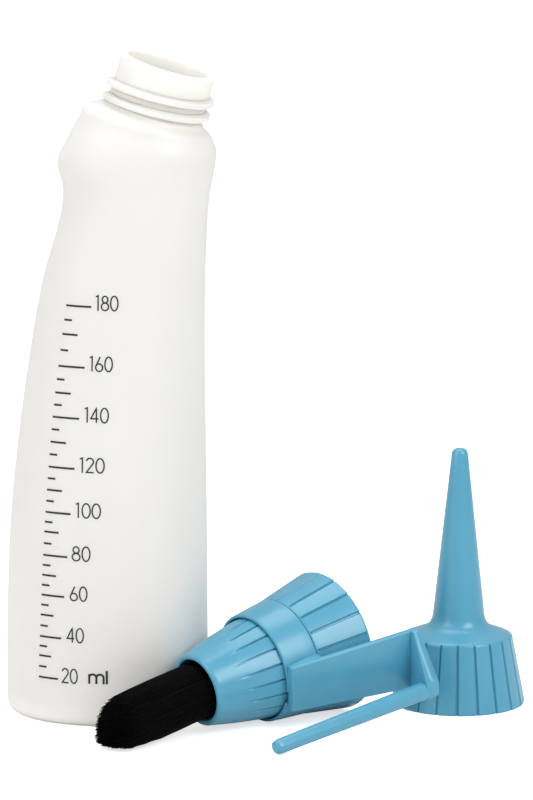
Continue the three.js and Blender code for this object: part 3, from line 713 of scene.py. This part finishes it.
def bristles(settings):
    """The tuft: a dark core and thousands of fine bristles, pressed flat where they lie."""
    rng = Random(4)
    edge, dome = CONE_MOUTH + 22.8, 6.8
    curve = bpy.data.curves.new("bristle_lines", "CURVE")
    curve.dimensions = "3D"
    curve.bevel_depth = settings.thickness / 2
    curve.bevel_resolution = 0
    curve.use_fill_caps = True
    for k in range(settings.count):
        share = math.sqrt((k + 0.5) / settings.count)
        angle = k * 2.399963 + rng.uniform(-0.05, 0.05)
        root = 7.15 * share
        spread = 7.55 * share + rng.gauss(0, 0.22)
        slant = share * (0.9 - 2.5 * math.cos(angle))
        reach = (edge + dome * math.sqrt(max(0.0, 1 - (share * 0.97) ** 2)) + slant
                 + rng.gauss(0, 0.42) - 0.9)
        sway = rng.gauss(0, 0.035)
        spline = curve.splines.new("POLY")
        spline.points.add(6)
        for i in range(7):
            t = i / 6
            r = root + (spread - root) * t ** 1.3
            a = angle + sway * t
            z = BRISTLE_ROOT + (reach - BRISTLE_ROOT) * t
            point = LYING_FRAME @ Vector((r * math.cos(a) * MM, r * math.sin(a) * MM, z * MM))
            point.z -= TUFT_DROOP * t * t
            low = TUFT_TABLE + 0.0007 * share * rng.random()
            if point.z < low:
                point.z = low
            spline.points[i].co = (*point, 1.0)
            spline.points[i].radius = 1.0 if i < 6 else 0.6
    strands = bpy.data.objects.new("bristle_lines", curve)
    bpy.context.scene.collection.objects.link(strands)
    bpy.context.view_layer.update()
    mesh = bpy.data.meshes.new_from_object(
        strands.evaluated_get(bpy.context.evaluated_depsgraph_get()))
    bpy.data.objects.remove(strands)

    bm = bmesh.new()
    core = [(0.0, 35.4), (6.9, 35.4), (6.7, 44.0), (6.3, edge - 6.0), (5.6, edge - 2.4),
            (4.2, edge + 0.2), (2.2, edge + 1.8), (0.0, edge + 2.3)]
    lathe(bm, core, 40)
    bmesh.ops.remove_doubles(bm, verts=bm.verts, dist=1e-4)
    bmesh.ops.recalc_face_normals(bm, faces=bm.faces)
    bmesh.ops.scale(bm, vec=(MM, MM, MM), verts=bm.verts)
    for v in bm.verts:
        t = max(0.0, (v.co.z / MM - BRISTLE_ROOT) / (edge + dome - BRISTLE_ROOT))
        v.co = LYING_FRAME @ v.co
        v.co.z = max(v.co.z - TUFT_DROOP * t * t, CORE_TABLE)
    bm.from_mesh(mesh)
    joined = bpy.data.meshes.new("bristles")
    bm.to_mesh(joined)
    bm.free()
    bpy.data.meshes.remove(mesh)
    joined.shade_smooth()
    joined.materials.clear()
    joined.materials.append(bristle_black(settings))
    obj = bpy.data.objects.new("bristles", joined)
    bpy.context.scene.collection.objects.link(obj)
    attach(obj, "set")
    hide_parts("bristle_tuft")
    return obj


# Parting arm

PLATE_RISE = math.tan(math.radians(13.2))
PLATE_END, COLLAR_BACK, COLLAR_FRONT = -9.7, 15.7, 25.25


def plate_face(z):
    """Height of the plate's outer face over the cap's axis."""
    return 16.1 + (COLLAR_FRONT - z) * PLATE_RISE


def plate_side(z, upper):
    """Where the plate's upper or lower edge is."""
    k = (COLLAR_FRONT - z) / (COLLAR_FRONT - PLATE_END)
    return 6.2 + 2.9 * k if upper else -6.3 - 1.4 * k


def block(bm, corners, edge):
    """A cube moved to eight corners, low end first, with its edges rounded."""
    cube = bmesh.ops.create_cube(bm, size=2.0)["verts"]
    order = sorted(cube, key=lambda v: (v.co.z, v.co.y, v.co.x))
    for v, corner in zip(order, corners):
        v.co = corner
    edges = list({e for v in cube for e in v.link_edges})
    bmesh.ops.bevel(bm, geom=edges, offset=edge, offset_type="OFFSET", segments=3, profile=0.5,
                    affect="EDGES", material=-1)


def plate_corners(z_low, z_high, depth, sunk=0.0):
    """Corners of a length of the plate, down to a depth, and sunk a little all round."""
    out = []
    for z in (z_low + sunk, z_high - sunk):
        for upper in (False, True):
            side = plate_side(z, upper) + (-sunk if upper else sunk)
            out += [Vector((depth(z), side, z)), Vector((plate_face(z) - sunk, side, z))]
    return out


def end_wall(bm, bend, edge):
    """The web that runs from the plate's whole end down to the rod."""
    thick, r = 1.8, 2.25
    inner = plate_face(PLATE_END) - 1.64
    outline = [(inner, plate_side(PLATE_END, False)),
               (plate_face(PLATE_END) + 0.3, plate_side(PLATE_END, False)),
               (bend.x - r * 0.5, bend.y - r), (bend.x + r * 0.45, bend.y - r),
               (bend.x + r * 0.85, bend.y - r * 0.78), (bend.x + r, bend.y - r * 0.3),
               (bend.x + r, bend.y + r * 0.35), (bend.x + r * 0.82, bend.y + r * 0.95),
               (bend.x + r * 0.45, bend.y + r * 1.5),
               (plate_face(PLATE_END) + 0.9, plate_side(PLATE_END, True) - 0.15),
               (plate_face(PLATE_END) + 0.1, plate_side(PLATE_END, True)),
               (inner, plate_side(PLATE_END, True))]
    face = bm.faces.new([bm.verts.new((x, y, PLATE_END)) for x, y in outline])
    raised = bmesh.ops.extrude_face_region(bm, geom=[face])["geom"]
    top = [g for g in raised if isinstance(g, bmesh.types.BMVert)]
    bmesh.ops.translate(bm, vec=(0, 0, thick), verts=top)
    for v in top:
        share = max(0.0, min(1.0, (v.co.x - inner - 1.6) / (bend.x - inner - 1.6)))
        v.co.z += 2.5 * share ** 1.6
    for v in face.verts:
        if v.co.x > bend.x + r * 0.8:
            v.co.z += 0.45
    faces = {f for v in top for f in v.link_faces} | {face}
    rim = [e for f in (face, *(f for f in faces if len(f.verts) > 4)) for e in f.edges]
    bmesh.ops.bevel(bm, geom=list(set(rim)), offset=edge, offset_type="OFFSET", segments=3,
                    profile=0.5, affect="EDGES", material=-1)


def rod(bm, bend, edge):
    """The parting rod: eight flats, tapering to a rounded tip."""
    along = Vector((math.sin(math.radians(0.8)), math.sin(math.radians(1.4)), 1.0)).normalized()
    sideways = (Vector((0, 1, 0)) - along * along.y).normalized()
    outward = sideways.cross(along)
    basis = Matrix((outward, sideways, along)).transposed().to_4x4()
    turn = Matrix.Translation(bend) @ basis @ Matrix.Rotation(TURN / 16, 4, "Z")
    rows = ((0.1, 3.4), (0.35, 4.0), (0.8, 4.35), (1.6, 4.5), (49.6, 3.7), (50.6, 3.52),
            (51.2, 3.0), (51.5, 2.1))
    ring = bmesh.ops.create_circle(bm, cap_ends=False, segments=8, radius=1.0)["verts"]
    start, width = rows[0]
    size = width / 2 / math.cos(math.pi / 8)
    bmesh.ops.scale(bm, vec=(size, size, 1), verts=ring)
    bmesh.ops.translate(bm, vec=(0, 0, start), verts=ring)
    first = list(ring)
    made = set(ring)
    edges = list({e for v in ring for e in v.link_edges})
    for distance, width in rows[1:]:
        step = bmesh.ops.extrude_edge_only(bm, edges=edges)["geom"]
        ring = [g for g in step if isinstance(g, bmesh.types.BMVert)]
        edges = [g for g in step if isinstance(g, bmesh.types.BMEdge)
                 and all(v in ring for v in g.verts)]
        wanted = width / 2 / math.cos(math.pi / 8)
        bmesh.ops.translate(bm, vec=(0, 0, distance - start), verts=ring)
        bmesh.ops.scale(bm, vec=(wanted / size, wanted / size, 1), verts=ring)
        size, start = wanted, distance
        made |= set(ring)
    bmesh.ops.contextual_create(bm, geom=edges)
    bmesh.ops.contextual_create(bm, geom=list({e for v in first for e in v.link_edges
                                               if all(w in first for w in e.verts)}))
    lengthways = [e for e in {e for v in made for e in v.link_edges}
                  if abs(e.verts[0].co.z - e.verts[1].co.z) > 1e-3]
    bmesh.ops.bevel(bm, geom=lengthways, offset=edge * 0.55, offset_type="OFFSET", segments=2,
                    profile=0.5, affect="EDGES", material=-1)
    island = [v for v in bm.verts if abs(v.co.x) < 3.0 and abs(v.co.y) < 3.0]
    bmesh.ops.transform(bm, matrix=turn, verts=island)


def collar(bm):
    """The collar ring with the small notch in its front edge."""
    profile = [(13.62, COLLAR_FRONT - 0.15), (13.75, COLLAR_FRONT), (14.05, COLLAR_FRONT),
               (14.28, COLLAR_FRONT - 0.07), (14.4, COLLAR_FRONT - 0.3), (14.68, 22.9),
               (14.95, 20.6), (15.22, 18.3), (15.5, 15.9), (15.5, 15.68), (15.38, 15.54),
               (15.2, 15.5), (14.15, 15.5), (13.85, 20.0), (13.62, COLLAR_FRONT - 0.15)]
    lathe(bm, profile, 160)
    # The notch's walls stand between two close cuts on each side
    for side, step in ((-4.7, 0.06), (-1.3, -0.06)):
        for place in (side, side + step):
            near = bm.verts[:] + bm.edges[:] + bm.faces[:]
            bmesh.ops.bisect_plane(bm, geom=near, plane_co=(0, place, 0), plane_no=(0, 1, 0),
                                   dist=1e-5)
    near = bm.verts[:] + bm.edges[:] + bm.faces[:]
    bmesh.ops.bisect_plane(bm, geom=near, plane_co=(0, 0, COLLAR_FRONT - 0.9),
                           plane_no=(0, 0, 1), dist=1e-5)
    for v in bm.verts:
        if v.co.x > 0 and -4.66 < v.co.y < -1.34 and v.co.z > COLLAR_FRONT - 0.89:
            v.co.z = COLLAR_FRONT - 0.9 + (v.co.z - COLLAR_FRONT + 0.9) * 0.02


def parting_arm(settings):
    """Collar, flat plate, end wall and rod of the swivelling arm."""
    edge = settings.edge / MM
    parts = []

    def part(make):
        bm = bmesh.new()
        make(bm)
        bmesh.ops.remove_doubles(bm, verts=bm.verts, dist=1e-4)
        bmesh.ops.recalc_face_normals(bm, faces=bm.faces)
        spare = bpy.data.meshes.new("arm_part")
        bm.to_mesh(spare)
        bm.free()
        parts.append(spare)

    bend = Vector((plate_face(PLATE_END) + 6.9, -4.7, PLATE_END + 2.25))
    part(collar)
    part(lambda bm: block(bm, plate_corners(PLATE_END, COLLAR_FRONT,
                                            lambda z: plate_face(z) - 1.64), edge))
    part(lambda bm: block(bm, plate_corners(COLLAR_BACK, COLLAR_FRONT, lambda z: 13.85, 0.12),
                          edge))
    part(lambda bm: end_wall(bm, bend, edge))
    part(lambda bm: rod(bm, bend, edge))
    bm = bmesh.new()
    for spare in parts:
        bm.from_mesh(spare)
        bpy.data.meshes.remove(spare)
    obj = finished("parting_arm_fine", bm, ARM_FRAME, satin_blue("arm_blue", settings), "arm",
                   40.0)
    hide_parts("parting_arm")
    return obj


# Stage

def lamp(name, place, target, size, watts):
    """A soft square lamp that faces a point."""
    data = bpy.data.lights.new(name, "AREA")
    data.shape = "RECTANGLE"
    data.size, data.size_y = size
    data.energy = watts
    obj = bpy.data.objects.new(name, data)
    obj.location = place
    obj.rotation_euler = (Vector(target) - Vector(place)).to_track_quat("-Z", "Y").to_euler()
    bpy.context.scene.collection.objects.link(obj)


def stage():
    """White sweep, soft studio light and the camera."""
    scene = bpy.context.scene
    bm = bmesh.new()
    bmesh.ops.create_grid(bm, x_segments=4, y_segments=4, size=6.0)
    floor_mesh = bpy.data.meshes.new("floor")
    bm.to_mesh(floor_mesh)
    bm.free()
    floor = bpy.data.objects.new("floor", floor_mesh)
    scene.collection.objects.link(floor)
    material, nodes, links, principled = shader("white_floor", (0.82, 0.82, 0.82), 0.7)
    principled.inputs["Specular IOR Level"].default_value = 0.1
    fine = noise(nodes, links, 3.0)
    tint = ramp(nodes, links, fine, ((0.3, (0.81, 0.81, 0.81)), (0.7, (0.83, 0.83, 0.83))))
    links.new(tint, principled.inputs["Base Color"])
    path = nodes.new("ShaderNodeLightPath")
    gain = nodes.new("ShaderNodeMath")
    gain.operation = "MULTIPLY"
    gain.inputs[1].default_value = 0.66
    links.new(path.outputs["Is Camera Ray"], gain.inputs[0])
    principled.inputs["Emission Color"].default_value = (1, 1, 1, 1)
    links.new(gain.outputs[0], principled.inputs["Emission Strength"])
    floor_mesh.materials.append(material)

    world = bpy.data.worlds.new("studio")
    scene.world = world
    world.use_nodes = True
    nodes, links = world.node_tree.nodes, world.node_tree.links
    room = nodes["Background"]
    room.inputs["Color"].default_value = (0.99, 0.99, 0.99, 1)
    room.inputs["Strength"].default_value = 0.55
    white = nodes.new("ShaderNodeBackground")
    white.inputs["Color"].default_value = (1, 1, 1, 1)
    white.inputs["Strength"].default_value = 1.0
    path = nodes.new("ShaderNodeLightPath")
    mix = nodes.new("ShaderNodeMixShader")
    links.new(path.outputs["Is Camera Ray"], mix.inputs["Fac"])
    links.new(room.outputs[0], mix.inputs[1])
    links.new(white.outputs[0], mix.inputs[2])
    links.new(mix.outputs[0], nodes["World Output"].inputs["Surface"])

    middle = (0.0, 0.0, 0.07)
    lamp("key", (0.75, -0.75, 0.8), middle, (0.6, 0.7), 8.0)
    lamp("fill", (-0.85, -0.6, 0.6), middle, (0.7, 0.9), 4.9)
    lamp("top", (-0.1, 0.2, 1.05), middle, (0.9, 0.6), 4.6)

    data = bpy.data.cameras.new("camera")
    data.sensor_width = 36.0
    data.lens = 180.0
    data.clip_end = 50.0
    camera = bpy.data.objects.new("camera", data)
    camera.location = (-0.000092, -1.006952, 0.250520)
    camera.rotation_euler = (math.radians(90.0 - 9.4), 0.0, 0.0)
    scene.collection.objects.link(camera)
    scene.camera = camera
    scene.view_settings.view_transform = "Standard"


# Operators and panel

class BottleOperator(bpy.types.Operator):
    """Makes the bottle's frosted shell, its threaded neck and the printed scale"""

    bl_idname = "applicator.bottle"
    bl_label = "Make the bottle"

    def execute(self, context):
        settings = context.scene.applicator_bottle
        shell = frosted_bottle(settings)
        context.view_layer.update()
        printed_scale(settings, shell)
        return {"FINISHED"}


class NozzleCapOperator(bpy.types.Operator):
    """Makes the standing nozzle cap"""

    bl_idname = "applicator.nozzle_cap"
    bl_label = "Make the nozzle cap"

    def execute(self, context):
        nozzle_cap(context.scene.applicator_caps)
        return {"FINISHED"}


class BrushCapOperator(bpy.types.Operator):
    """Makes the lying brush cap and finishes its plug"""

    bl_idname = "applicator.brush_cap"
    bl_label = "Make the brush cap"

    def execute(self, context):
        settings = context.scene.applicator_caps
        brush_cap(settings)
        plug = frame["nodes"]["bristle_plug"]
        plug.data.materials.clear()
        plug.data.materials.append(satin_blue("plug_blue", settings))
        return {"FINISHED"}


class BristlesOperator(bpy.types.Operator):
    """Makes the black bristles"""

    bl_idname = "applicator.bristles"
    bl_label = "Make the bristles"

    def execute(self, context):
        bristles(context.scene.applicator_bristles)
        return {"FINISHED"}


class PartingArmOperator(bpy.types.Operator):
    """Makes the swivelling parting arm"""

    bl_idname = "applicator.parting_arm"
    bl_label = "Make the parting arm"

    def execute(self, context):
        parting_arm(context.scene.applicator_caps)
        return {"FINISHED"}


class StageOperator(bpy.types.Operator):
    """Sets up the white floor, the soft lamps and the camera"""

    bl_idname = "applicator.stage"
    bl_label = "Set the stage"

    def execute(self, context):
        stage()
        return {"FINISHED"}


OPERATORS = (BottleOperator, NozzleCapOperator, BrushCapOperator, BristlesOperator,
             PartingArmOperator, StageOperator)


class ApplicatorPanel(bpy.types.Panel):
    """Lists the set's settings and the operators that make it"""

    bl_idname = "VIEW3D_PT_applicator"
    bl_label = "Applicator bottle"
    bl_space_type = "VIEW_3D"
    bl_region_type = "UI"
    bl_category = "Applicator"

    def draw(self, context):
        column = self.layout.column()
        for group in ("applicator_bottle", "applicator_caps", "applicator_bristles"):
            settings = getattr(context.scene, group)
            for name in settings.__annotations__:
                column.prop(settings, name)
        for operator in OPERATORS:
            column.operator(operator.bl_idname)


CLASSES = (BottleSettings, CapSettings, BristleSettings) + OPERATORS + (ApplicatorPanel,)


def register():
    """Registers the classes and the scene's settings."""
    for cls in CLASSES:
        bpy.utils.register_class(cls)
    bpy.types.Scene.applicator_bottle = PointerProperty(type=BottleSettings)
    bpy.types.Scene.applicator_caps = PointerProperty(type=CapSettings)
    bpy.types.Scene.applicator_bristles = PointerProperty(type=BristleSettings)


def unregister():
    """Takes the settings and the classes out again."""
    del bpy.types.Scene.applicator_bottle
    del bpy.types.Scene.applicator_caps
    del bpy.types.Scene.applicator_bristles
    for cls in reversed(CLASSES):
        bpy.utils.unregister_class(cls)


def main():
    """Makes every piece and the stage."""
    register()
    bpy.ops.applicator.bottle()
    bpy.ops.applicator.nozzle_cap()
    bpy.ops.applicator.brush_cap()
    bpy.ops.applicator.bristles()
    bpy.ops.applicator.parting_arm()
    bpy.ops.applicator.stage()


if __name__ == "__main__":
    main()
